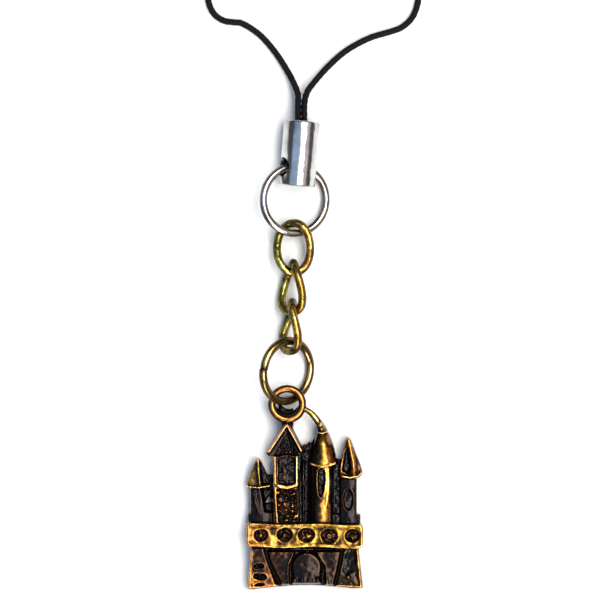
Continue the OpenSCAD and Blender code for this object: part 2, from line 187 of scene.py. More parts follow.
def cells(x, y, size, seed, squash=1.0):
    """Distance from the joints between the cells of an uneven wall, and a number per cell."""
    n = 64
    rng = np.random.default_rng(seed)
    jit, tone = rng.random((n, n, 2)) * 0.7 + 0.15, rng.random((n, n))
    u, v = x / size + 20, y / (size * squash) + 20
    i, j = np.floor(u).astype(int), np.floor(v).astype(int)
    f1, f2 = np.full(u.shape, 9.0), np.full(u.shape, 9.0)
    own = np.zeros(u.shape)
    for di in (-1, 0, 1):
        for dj in (-1, 0, 1):
            a, b = (i + di) % n, (j + dj) % n
            d = np.hypot(i + di + jit[a, b, 0] - u, j + dj + jit[a, b, 1] - v)
            nearer = d < f1
            f2 = np.where(nearer, f1, np.minimum(f2, d))
            own = np.where(nearer, tone[a, b], own)
            f1 = np.where(nearer, d, f1)
    return (f2 - f1) * size, own


# ---------------------------------------------------------------- distance to flat shapes
def d_box(x, y, x0, x1, y0, y1, r=0.0):
    qx = np.abs(x - (x0 + x1) / 2) - (x1 - x0) / 2 + r
    qy = np.abs(y - (y0 + y1) / 2) - (y1 - y0) / 2 + r
    return np.hypot(np.maximum(qx, 0), np.maximum(qy, 0)) + np.minimum(np.maximum(qx, qy), 0) - r


def d_disc(x, y, cx, cy, r, stretch=1.0):
    return np.hypot(x - cx, (y - cy) / stretch) - r


def d_line(x, y, points, r):
    """Distance to a thick broken line."""
    best = np.full(x.shape, 99.0)
    for (ax, ay), (bx, by) in zip(points[:-1], points[1:]):
        dx, dy = bx - ax, by - ay
        t = np.clip(((x - ax) * dx + (y - ay) * dy) / (dx * dx + dy * dy), 0, 1)
        best = np.minimum(best, np.hypot(x - ax - t * dx, y - ay - t * dy))
    return best - r


def d_poly(x, y, points):
    """Signed distance to a closed polygon."""
    inside = np.zeros(x.shape, bool)
    best = np.full(x.shape, 99.0)
    for (ax, ay), (bx, by) in zip(points, points[1:] + points[:1]):
        dx, dy = bx - ax, by - ay
        t = np.clip(((x - ax) * dx + (y - ay) * dy) / (dx * dx + dy * dy), 0, 1)
        best = np.minimum(best, np.hypot(x - ax - t * dx, y - ay - t * dy))
        crosses = (ay > y) != (by > y)
        at = ax + (y - ay) * dx / (dy if abs(dy) > 1e-12 else 1e-12)
        inside ^= crosses & (x < at)
    return np.where(inside, -best, best)


def within(d, soft):
    """1 inside a shape, 0 outside, with a slope soft wide."""
    t = np.clip(0.5 - d / soft, 0, 1)
    return t * t * (3 - 2 * t)


# ---------------------------------------------------------------- materials
class Nodes:
    def __init__(self, name):
        self.mat = bpy.data.materials.new(name)
        self.mat.use_nodes = True
        self.tree = self.mat.node_tree
        self.bsdf = self.tree.nodes["Principled BSDF"]

    def add(self, kind, **values):
        node = self.tree.nodes.new(kind)
        for key, value in values.items():
            if key in node.inputs:
                node.inputs[key].default_value = value
            else:
                setattr(node, key, value)
        return node

    def link(self, a, b):
        self.tree.links.new(a, b)

    def where(self):
        if not hasattr(self, "coords"):
            self.coords = self.add("ShaderNodeTexCoord")
        return self.coords.outputs["Object"]

    def attribute(self, name):
        return self.add("ShaderNodeAttribute", attribute_name=name).outputs["Fac"]

    def noise(self, scale, detail=4.0, rough=0.55, stretch=None):
        node = self.add("ShaderNodeTexNoise", Scale=scale, Detail=detail, Roughness=rough)
        at = self.where()
        if stretch is not None:
            mapping = self.add("ShaderNodeMapping", Scale=stretch)
            self.link(at, mapping.inputs["Vector"])
            at = mapping.outputs["Vector"]
        self.link(at, node.inputs["Vector"])
        return node.outputs["Fac"]

    def voronoi(self, scale):
        node = self.add("ShaderNodeTexVoronoi", Scale=scale)
        self.link(self.where(), node.inputs["Vector"])
        return node.outputs["Distance"]

    def math(self, op, a, b=None, clamp=False):
        node = self.add("ShaderNodeMath", operation=op, use_clamp=clamp)
        for slot, value in ((0, a), (1, b)):
            if value is None:
                continue
            if isinstance(value, (int, float)):
                node.inputs[slot].default_value = value
            else:
                self.link(value, node.inputs[slot])
        return node.outputs[0]

    def span(self, value, a, b, c, d):
        node = self.add("ShaderNodeMapRange")
        for slot, v in zip(("From Min", "From Max", "To Min", "To Max"), (a, b, c, d)):
            node.inputs[slot].default_value = v
        self.link(value, node.inputs["Value"])
        return node.outputs["Result"]

    def ramp(self, value, stops):
        node = self.add("ShaderNodeValToRGB")
        ramp = node.color_ramp
        ramp.interpolation = "EASE"
        while len(ramp.elements) < len(stops):
            ramp.elements.new(0.5)
        for e, (at, colour) in zip(ramp.elements, stops):
            e.position = at
            e.color = rgb(*colour)
        self.link(value, node.inputs["Fac"])
        return node.outputs["Color"]

    def mix(self, share, a, b):
        node = self.add("ShaderNodeMix", data_type="RGBA")
        for slot, value in ((0, share), (6, a), (7, b)):
            if isinstance(value, (int, float)):
                node.inputs[slot].default_value = value
            elif isinstance(value, tuple):
                node.inputs[slot].default_value = rgb(*value)
            else:
                self.link(value, node.inputs[slot])
        return node.outputs[2]

    def bump(self, height, distance, strength=1.0, after=None):
        node = self.add("ShaderNodeBump", Strength=strength, Distance=distance)
        self.link(height, node.inputs["Height"])
        if after is not None:
            self.link(after, node.inputs["Normal"])
        return node.outputs["Normal"]

    def finish(self, colour, rough, metal=None, normal=None, **fixed):
        for value, slot in ((colour, "Base Color"), (rough, "Roughness"), (metal, "Metallic"),
                            (normal, "Normal")):
            if value is None:
                continue
            if isinstance(value, (int, float)):
                self.bsdf.inputs[slot].default_value = value
            elif isinstance(value, tuple):
                self.bsdf.inputs[slot].default_value = rgb(*value)
            else:
                self.link(value, self.bsdf.inputs[slot])
        for slot, value in fixed.items():
            self.bsdf.inputs[slot.replace("_", " ")].default_value = value
        return self.mat


def cord_material():
    """Black nylon braid: the strand crowns are painted a little grey as a painted sheen, and the
    valleys between them are painted darker as painted shade.
    """
    n = Nodes("cord_braid")
    crown = n.attribute("crown")
    speck = n.noise(5200.0, 2.0)
    # painted light: black in the strand valleys (painted shade) rising to grey on the strand
    # crowns (painted sheen)
    tone = n.math("MULTIPLY", crown, n.span(speck, 0.35, 0.7, 0.2, 1.0))
    colour = n.ramp(tone, [(0.0, (0.0015, 0.0015, 0.003)), (0.55, (0.004, 0.004, 0.007)),
                           (1.0, (0.055, 0.055, 0.07))])
    rough = n.span(speck, 0.3, 0.7, 0.55, 0.8)
    fibre = n.noise(9000.0, 2.0)
    return n.finish(colour, rough, 0.0, n.bump(fibre, 0.00002, 0.6), Specular_IOR_Level=0.16)


def plated_material():
    """Bright nickel plating with fine drawing lines, tiny dents and faint tarnish; its inside wall
    is painted near-black and rougher as painted shade.
    """
    n = Nodes("nickel_plate")
    tarnish = n.noise(420.0, 5.0)
    lines = n.noise(900.0, 3.0, stretch=(6.0, 0.35, 6.0))
    dents = n.noise(1500.0, 3.0)
    colour = n.mix(n.span(tarnish, 0.38, 0.68, 0.0, 1.0), (0.60, 0.61, 0.625), (0.36, 0.36, 0.38))
    # painted shade: the inside wall of the cap is coloured near-black
    inside = n.attribute("inside")
    colour = n.mix(inside, colour, (0.014, 0.013, 0.014))
    rough = n.math("ADD", n.span(tarnish, 0.3, 0.7, 0.08, 0.2), n.span(lines, 0.3, 0.7, 0.0, 0.1))
    rough = n.math("ADD", rough, n.span(inside, 0.0, 1.0, 0.0, 0.3))
    normal = n.bump(lines, 0.000012, 0.6)
    normal = n.bump(dents, 0.00004, 0.6, normal)
    normal = n.bump(tarnish, 0.00009, 0.5, normal)
    return n.finish(colour, rough, 1.0, normal)


def wire_material(name, dark, mid, bright, rough_low, rough_high, hammer=0.0):
    """Drawn wire with a thin patina. Its wear attribute holds patchy wear and painted light:
    bright where the wire faces up or down (painted highlight), dark on its sides (painted shade).
    Its side attribute tints it cool on one side and warm on the other as a painted reflection.
    """
    n = Nodes(name)
    wear_and_painted_light = n.attribute("wear_and_painted_light")
    side = n.attribute("side")
    patch = n.noise(700.0, 5.0, 0.6)
    # value carries patchy wear together with the painted highlight on the wire's tops and the
    # painted shade on its sides
    value = n.math("ADD", wear_and_painted_light, n.span(patch, 0.3, 0.7, -0.16, 0.16), clamp=True)
    cool = n.ramp(value, [(0.0, dark[0]), (0.5, mid[0]), (1.0, bright[0])])
    warm = n.ramp(value, [(0.0, dark[1]), (0.5, mid[1]), (1.0, bright[1])])
    # painted reflection: the side attribute blends a cool tint on one side into a warm tint on the
    # other
    colour = n.mix(side, cool, warm)
    rough = n.span(value, 0.1, 0.9, rough_high, rough_low)
    scratch = n.noise(2600.0, 3.0)
    normal = n.bump(scratch, 0.000012, 0.5)
    if hammer:
        normal = n.bump(n.voronoi(1500.0), hammer, 0.6, normal)
    return n.finish(colour, rough, n.span(value, 0.0, 0.35, 0.6, 1.0), normal,
                    Specular_IOR_Level=0.3)


def bronze_material():
    """Cast antique bronze: near-black in the recesses, brown on the faces, gold on worn edges and
    on the painted highlights, with small grey-blue specks painted on the dark parts as glints.
    """
    n = Nodes("antique_bronze")
    wear_and_painted_light = n.attribute("wear_and_painted_light")
    warm = n.attribute("warm")
    fine = n.noise(1900.0, 6.0, 0.62)
    broad = n.noise(380.0, 4.0)
    value = n.math("ADD", wear_and_painted_light, n.span(fine, 0.3, 0.7, -0.11, 0.11))
    value = n.math("ADD", value, n.span(broad, 0.3, 0.7, -0.07, 0.07), clamp=True)
    gold = n.ramp(value, [(0.0, (0.003, 0.003, 0.005)), (0.2, (0.009, 0.006, 0.006)),
                          (0.4, (0.045, 0.024, 0.010)), (0.6, (0.26, 0.145, 0.018)),
                          (0.8, (0.58, 0.33, 0.05)), (1.0, (0.90, 0.70, 0.30))])
    copper = n.ramp(value, [(0.0, (0.004, 0.003, 0.005)), (0.2, (0.013, 0.007, 0.006)),
                            (0.4, (0.070, 0.026, 0.011)), (0.6, (0.34, 0.125, 0.025)),
                            (0.8, (0.66, 0.27, 0.06)), (1.0, (0.88, 0.50, 0.18))])
    colour = n.mix(warm, gold, copper)
    # painted glints: small grey-blue specks on the dark parts stand in for reflections of the
    # lights
    glint_noise = n.noise(2300.0, 3.0, 0.7)
    painted_glint = n.math("MULTIPLY", n.span(glint_noise, 0.62, 0.72, 0.0, 1.0),
                  n.span(value, 0.1, 0.4, 0.55, 0.0))
    colour = n.mix(painted_glint, colour, (0.10, 0.11, 0.135))
    rough = n.math("ADD", n.span(value, 0.0, 0.9, 0.24, 0.19), n.span(fine, 0.3, 0.7, 0.0, 0.14))
    metal = n.span(value, 0.05, 0.5, 0.85, 1.0)
    pits = n.noise(3200.0, 4.0)
    normal = n.bump(pits, 0.00002, 0.55)
    normal = n.bump(broad, 0.00008, 0.45, normal)
    return n.finish(colour, rough, metal, normal, Specular_IOR_Level=0.3, Coat_Weight=0.16,
                    Coat_Roughness=0.12, Coat_IOR=1.5)


# ---------------------------------------------------------------- the cord, made first
CORD_ROUTE = [
    (-0.76, 47.3, 2.3), (-0.8, 48.3, 2.3), (-0.84, 49.3, 2.28), (-0.84, 50.7, 2.15),
    (-0.88, 52.1, 1.8), (-1.4, 53.5, 1.35), (-2.15, 54.95, 0.9), (-3.7, 57.35, 0.5),
    (-5.6, 59.5, 0.4), (-7.7, 60.9, 0.4), (-8.9, 61.1, 0.4), (-10.1, 61.3, 0.4),
    (-11.2, 62.0, 0.4), (-11.9, 63.2, 0.4), (-12.2, 65, 0.4), (-12.5, 70, 0.4),
    (-13, 78, 0.4), (-12.8, 86, 0.4), (-10.5, 93, 0.4), (-6, 98, 0.4),
    (0, 100.2, 0.4), (6.5, 99, 0.4), (11.5, 95, 0.4), (14.3, 88.5, 0.4),
    (15, 80, 0.4), (14.8, 71.5, 0.4), (14.4, 65.5, 0.4), (14.1, 63.2, 0.4),
    (13.4, 61.6, 0.4), (12.2, 60.5, 0.4), (10.8, 59.95, 0.4), (8.05, 59.1, 0.4),
    (5.15, 57.5, 0.45), (2.75, 55.35, 0.75), (0.9, 53.2, 1.35), (0.25, 52.15, 1.7),
    (-0.04, 50.9, 2.1), (-0.06, 49.3, 2.28), (-0.02, 48.3, 2.3), (0.02, 47.3, 2.3),
]
CORD_D = 0.75


def smooth_route(points, steps):
    """The same smooth curve through the points as the CAD solid follows."""
    p = np.asarray(points, float)
    out = []
    for i in range(len(p) - 1):
        a, b, c, d = p[max(i - 1, 0)], p[i], p[i + 1], p[min(i + 2, len(p) - 1)]
        for s in range(steps):
            f = s / steps
            out.append(0.5 * (2 * b + (c - a) * f + (2 * a - 5 * b + 4 * c - d) * f * f
                              + (3 * b - a - 3 * c + d) * f ** 3))
    out.append(p[-1])
    return np.array(out)


def even_steps(path, step):
    """The path again with points about step apart."""
    gaps = np.linalg.norm(np.diff(path, axis=0), axis=1)
    at = np.concatenate([[0], np.cumsum(gaps)])
    want = np.linspace(0, at[-1], int(round(at[-1] / step)) + 1)
    return np.stack([np.interp(want, at, path[:, k]) for k in range(3)], 1), want


def braided(path, step, sides, d, strands, pitch):
    """Radius of a braided cord at each point and side, and how high each point's strand is."""
    line, run = even_steps(path, step)
    a = 2 * np.pi * np.arange(sides) / sides
    one = strands * a[None, :] / 2 + np.pi * run[:, None] / pitch
    two = strands * a[None, :] / 2 - np.pi * run[:, None] / pitch
    crown = np.abs(np.cos(one)) * np.abs(np.cos(two))
    wobble = 0.006 * noise(run[:, None] + 0 * a, a[None, :] + 0 * run[:, None], 0.9, 5)
    return line, d / 2 - 0.012 + 0.05 * crown + wobble, crown


cord_mat = cord_material()
line, radius, crown = braided(smooth_route(CORD_ROUTE, 16), 0.075, 24, CORD_D, 6, 0.8)
verts, faces = tube(line, radius, 24, round_end=0.1)
cord = make_piece("cord", verts, faces, cord_mat)
end_rings = len(verts) - crown.size
set_attribute(cord, "crown", np.concatenate([crown.ravel(), np.full(end_rings, 0.2)]))

# The stopper knot both tails are tied into: a pulled-tight overhand knot inside the cap
knot_lo, knot_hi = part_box("cord_knot")
knot_mid = np.array((knot_lo + knot_hi) / 2) / MM
t = np.linspace(0, 2 * np.pi, 260, endpoint=False)
trefoil = np.stack([(np.sin(t) + 2 * np.sin(2 * t)) * 0.30, np.sin(3 * t) * 0.72,
                    (np.cos(t) - 2 * np.cos(2 * t)) * 0.30], 1)
line2, radius2, crown2 = braided(np.vstack([trefoil, trefoil[:1]]), 0.075, 18, 0.72, 6, 0.8)
verts, faces = tube(line2 + knot_mid, radius2, 18, round_end=0.05)
knot = make_piece("cord_stopper_knot", verts, faces, cord_mat)
set_attribute(knot, "crown", np.concatenate([crown2.ravel(),
                                             np.full(len(verts) - crown2.size, 0.2)]))
for piece, node in ((cord, "cord_loop"), (knot, "cord_knot")):
    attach(piece, "cap")
    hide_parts(node)


# ---------------------------------------------------------------- rings and links
def facing(obj):
    """How far each point of a lying wire faces up or down, from 0 to 1: the wires are painted
    bright there as a painted highlight and dark on their sides as painted shade.
    """
    normal = np.empty(len(obj.data.vertices) * 3)
    obj.data.vertex_normals.foreach_get("vector", normal)
    return np.abs(normal.reshape(-1, 3)[:, 2])


def bent_ring(name, node, body, centre, turn, r, wire, cut, at, material, offset=(0, 0),
              seed=1):
    """A jump ring of round wire with sheared ends. offset moves its far end out of line."""
    m = turn_matrix(turn)
    gap = cut / r
    count, sides = 360, 36
    ang = np.linspace(math.radians(at) + gap / 2, math.radians(at) + 2 * np.pi - gap / 2, count)
    run = np.linspace(0, 1, count)
    slip = np.clip((run - 0.8) / 0.2, 0, 1) ** 2
    rr = r + offset[0] * slip
    flat = np.stack([rr * np.cos(ang), rr * np.sin(ang), offset[1] * slip], 1)
    path = flat @ m.T + np.asarray(centre)
    a = 2 * np.pi * np.arange(sides) / sides
    across = run[:, None] * 2 * np.pi * r
    dents = noise(across + 0 * a, a[None, :] * 0.6 + 0 * across, 0.8, seed)
    dents += 0.5 * noise(across + 0 * a, a[None, :] * 0.6 + 0 * across, 0.3, seed + 1)
    radius = wire / 2 - 0.008 + 0.006 * dents
    pinch = np.minimum(run, 1 - run) * 2 * np.pi * r
    radius = radius * (1 - 0.05 * np.exp(-(pinch[:, None] / 0.35) ** 2))
    verts, faces = tube(path, radius, sides, up=m[:, 2], round_end=0.05)
    obj = make_piece(name, verts, faces, material)
    p = np.asarray(verts)
    local = (p - np.asarray(centre)) @ m
    theta = np.arctan2(local[:, 1], local[:, 0])
    patch = noise(theta * r, local[:, 2], 1.3, seed + 5)
    # painted light with patchy wear: bright where the wire faces up or down (painted highlight),
    # dark on its sides (painted shade)
    wear_and_painted_light = np.clip(0.02 + 0.8 * facing(obj) ** 2.2 + 0.22 * patch * facing(obj), 0, 1)
    # painted shade: the wire darkens towards its cut ends, standing in for the shadow in the gap
    cut_end_shade = np.exp(-(np.abs(np.angle(np.exp(1j * (theta - math.radians(at))))) * r / 0.3) ** 2)
    wear_and_painted_light = wear_and_painted_light * (1 - 0.95 * cut_end_shade)
    set_attribute(obj, "wear_and_painted_light", wear_and_painted_light)
    # painted reflection: a cool tint on one side of the ring, warm on the other
    set_attribute(obj, "side", np.clip(0.5 + 0.5 * local[:, 0] / r, 0, 1))
    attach(obj, body)
    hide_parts(node)
    return obj


silver_mat = wire_material(
    "tarnished_silver_wire",
    ((0.022, 0.018, 0.017), (0.022, 0.017, 0.014)), ((0.28, 0.25, 0.23), (0.25, 0.215, 0.18)),
    ((0.72, 0.69, 0.67), (0.70, 0.63, 0.54)), 0.14, 0.32)
ring_mat = wire_material(
    "antique_brass_wire",
    ((0.016, 0.011, 0.008), (0.014, 0.009, 0.007)), ((0.20, 0.135, 0.045), (0.19, 0.095, 0.035)),
    ((0.86, 0.64, 0.22), (0.74, 0.42, 0.17)), 0.16, 0.34)

silver_ring = bent_ring("end_cap_ring", "ferrule_ring", "ferrule_ring",
                        (-1.24199, 38.8185, 2.23115), (1.2, 20.6, -2.5), 4.175, 0.95, 0.1, 85,
                        silver_mat, seed=11)
brass_ring = bent_ring("open_jump_ring", "jump_ring", "jump_ring",
                       (-2.24232, 17.4267, 3.02476), (7, 40, 0), 3.8, 1.05, 0.08, 176,
                       ring_mat, offset=(-0.3, -0.26), seed=21)

LINKS = {
    "link_1": ((-1.3904, 32.8266, 2.2163), (-2, -3, 0)),
    "link_2": ((-1.53315, 27.8803, 2.5933), (0, -59, -2)),
    "link_3": ((-1.71247, 22.9978, 2.64641), (-2, -72, -1.5)),
}
LINK_HALF, LINK_SIDE, LINK_WIRE, LINK_TWIST, LINK_POWER = 3.07, 2.07, 1.06, 52.0, 2.3

link_mat = wire_material(
    "antique_brass_link",
    ((0.016, 0.013, 0.006), (0.020, 0.010, 0.006)), ((0.27, 0.235, 0.040), (0.40, 0.20, 0.035)),
    ((0.80, 0.76, 0.22), (0.95, 0.62, 0.16)), 0.17, 0.36, hammer=0.00004)


def curb_link(name, centre, turn, seed):
    """A curb link: an oval of hammered wire whose ends are twisted apart."""
    m = turn_matrix(turn)
    count, sides = 300, 40
    a = 2 * np.pi * (np.arange(count) + 0.5) / count
    power = 2 / LINK_POWER
    x = LINK_SIDE * np.sign(np.cos(a)) * np.abs(np.cos(a)) ** power
    y = LINK_HALF * np.sign(np.sin(a)) * np.abs(np.sin(a)) ** power
    flat = np.stack([x, y, 0 * x], 1)
    closed = np.vstack([flat, flat[:1]])
    line, run = even_steps(closed, np.linalg.norm(np.diff(closed, axis=0), axis=1).sum() / count)
    line, run = line[:-1], run[:-1]
    for _ in range(3):
        line = (np.roll(line, 1, 0) + 2 * line + np.roll(line, -1, 0)) / 4
    twist = np.radians(-LINK_TWIST / 2 * line[:, 1] / LINK_HALF)
    c, s = np.cos(twist), np.sin(twist)
    path = np.stack([line[:, 0] * c, line[:, 1], -line[:, 0] * s], 1)
    up = np.stack([s, 0 * s, c], 1)
    b = 2 * np.pi * np.arange(sides) / sides
    grid_run, grid_b = run[:, None] + 0 * b, b[None, :] * 0.53 + 0 * run[:, None]
    total = run[-1] + (run[1] - run[0])
    blend = np.clip((grid_run / total - 0.85) / 0.15, 0, 1)

    def around(size, s0):
        """Noise that meets itself where the link closes and where the wire goes round."""
        wrap = np.clip((b / (2 * np.pi) - 0.8) / 0.2, 0, 1)[None, :]
        def at(off):
            v = noise(grid_run - off, grid_b, size, s0)
            w = noise(grid_run - off, grid_b - 0.53 * 2 * np.pi, size, s0)
            return v * (1 - wrap) + w * wrap
        return at(0) * (1 - blend) + at(total) * blend

    facet = around(0.55, seed) + 0.6 * around(0.28, seed + 1)
    radius = LINK_WIRE / 2 - 0.012 + 0.016 * np.clip(facet, -1, 1)
    verts, faces = tube(path, radius, sides, closed=True, up=up)
    verts = verts @ m.T + np.asarray(centre)
    obj = make_piece(name, verts, faces, link_mat)
    face = facing(obj)
    # hammered spots and painted light: bright where the wire faces up or down (painted highlight),
    # dark on its sides (painted shade)
    spots = (0.34 * facet + 0.28 * around(1.6, seed + 2)).ravel()
    set_attribute(obj, "wear_and_painted_light", np.clip(0.02 + 0.68 * face ** 2 + spots * face, 0, 1))
    # painted reflection: a cool tint on the left of each link, warm on the right
    world_x = (verts - np.asarray(centre))[:, 0]
    set_attribute(obj, "side", np.clip(0.5 + world_x / 2.4, 0, 1))
    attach(obj, name.replace("curb_", ""))
    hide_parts(name.replace("curb_", ""))
    return obj


for k, (body, (centre, turn)) in enumerate(LINKS.items()):
    curb_link("curb_" + body, centre, turn, 31 + 10 * k)


# ---------------------------------------------------------------- end cap
CAP_C = np.array((-0.998778, 40.5757, 2.29))
CAP_TURN = (0, 28, -4.9)
CAP_D, CAP_L, CAP_WALL, CAP_TOP = 4.54, 8.12, 0.4, 0.5
HOLE_R, CROSS_R, CROSS_H = 1.05, 1.2, 2.2


def lathe(profile, sides):
    """Turns a closed outline (radius, height) round the Y axis."""
    a = 2 * np.pi * np.arange(sides) / sides
    p = np.asarray(profile, float)
    verts = np.stack([p[:, 0][:, None] * np.sin(a), p[:, 1][:, None] + 0 * a,
                      p[:, 0][:, None] * np.cos(a)], 2).reshape(-1, 3)
    n = len(p)
    faces = [((i * sides + s), (i * sides + (s + 1) % sides),
              ((i + 1) % n) * sides + (s + 1) % sides, ((i + 1) % n) * sides + s)
             for i in range(n) for s in range(sides)]
    return verts, faces


def rounded(corner, before, after, r, steps=5):
    """Points of an arc of about radius r that rounds a corner of an outline."""
    c, b, a = (np.asarray(v, float) for v in (corner, before, after))
    p0, p1 = c + unit(b - c) * r, c + unit(a - c) * r
    return [tuple((1 - t) ** 2 * p0 + 2 * t * (1 - t) * c + t * t * p1)
            for t in np.linspace(0, 1, steps)]


R = CAP_D / 2
corners = [(R, 0), (R, CAP_L), (HOLE_R, CAP_L), (HOLE_R, CAP_L - CAP_TOP),
           (R - CAP_WALL, CAP_L - CAP_TOP), (R - CAP_WALL, 0)]
radii = [0.12, 0.28, 0.12, 0.08, 0.2, 0.12]
outline = []
for i, (corner, r) in enumerate(zip(corners, radii)):
    outline += rounded(corner, corners[i - 1], corners[(i + 1) % len(corners)], r)
outline.insert(5, (R, CAP_L * 0.35))
outline.insert(6, (R, CAP_L * 0.68))
verts, faces = lathe(outline, 160)
cap = make_piece("end_cap", verts, faces)
bm = bmesh.new()
bm.from_mesh(cap.data)
bmesh.ops.recalc_face_normals(bm, faces=bm.faces)
bm.to_mesh(cap.data)
bm.free()
cut_verts, cut_faces = lathe([(CROSS_R, -CAP_D), (CROSS_R, CAP_D)], 96)
cut_faces = cut_faces[:96] + [tuple(range(95, -1, -1)), tuple(range(96, 192))]
cut_verts = cut_verts[:, [1, 0, 2]] + np.array((0, CROSS_H, 0))
cutter = make_piece("cutter", cut_verts, cut_faces)
bm = bmesh.new()
bm.from_mesh(cutter.data)
bmesh.ops.recalc_face_normals(bm, faces=bm.faces)
bm.to_mesh(cutter.data)
bm.free()


def apply_all(obj):
    bpy.context.view_layer.update()
    done = bpy.data.meshes.new_from_object(
        obj.evaluated_get(bpy.context.evaluated_depsgraph_get()))
    obj.modifiers.clear()
    obj.data = done


cut = cap.modifiers.new("cut", "BOOLEAN")
cut.operation = "DIFFERENCE"
cut.object = cutter
cut.solver = "EXACT"
edge = cap.modifiers.new("edge", "BEVEL")
edge.width = 0.06 * MM
edge.segments = 3
edge.limit_method = "ANGLE"
edge.angle_limit = math.radians(40)
apply_all(cap)
bpy.data.objects.remove(cutter)
cap.data.shade_smooth()
cap.data.set_sharp_from_angle(angle=math.radians(50))
own = np.empty(len(cap.data.vertices) * 3)
cap.data.vertices.foreach_get("co", own)
own = own.reshape(-1, 3) / MM
RIM_EDGE, TOP_EDGE = 0.06, 0.3
# points on the inside wall of the cap, away from the rim and the top: these are painted near-black
# as painted shade
inner = ((np.hypot(own[:, 0], own[:, 2]) < R - 0.1) & (own[:, 1] > RIM_EDGE)
         & (own[:, 1] < CAP_L - TOP_EDGE))
set_attribute(cap, "inside", inner.astype(float))
m = Matrix(turn_matrix(CAP_TURN).tolist()).to_4x4()
cap.data.transform(Matrix.Translation(CAP_C * MM) @ m)
cap.data.materials.clear()
cap.data.materials.append(plated_material())
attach(cap, "cap")
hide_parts("ferrule")


# ---------------------------------------------------------------- castle
FOOT = -10.0
STEP = 0.055
gx = np.arange(-7.8, 7.81, STEP)
gy = np.arange(-0.3, 21.6, STEP)
X, Y = np.meshgrid(gx, gy, indexing="ij")


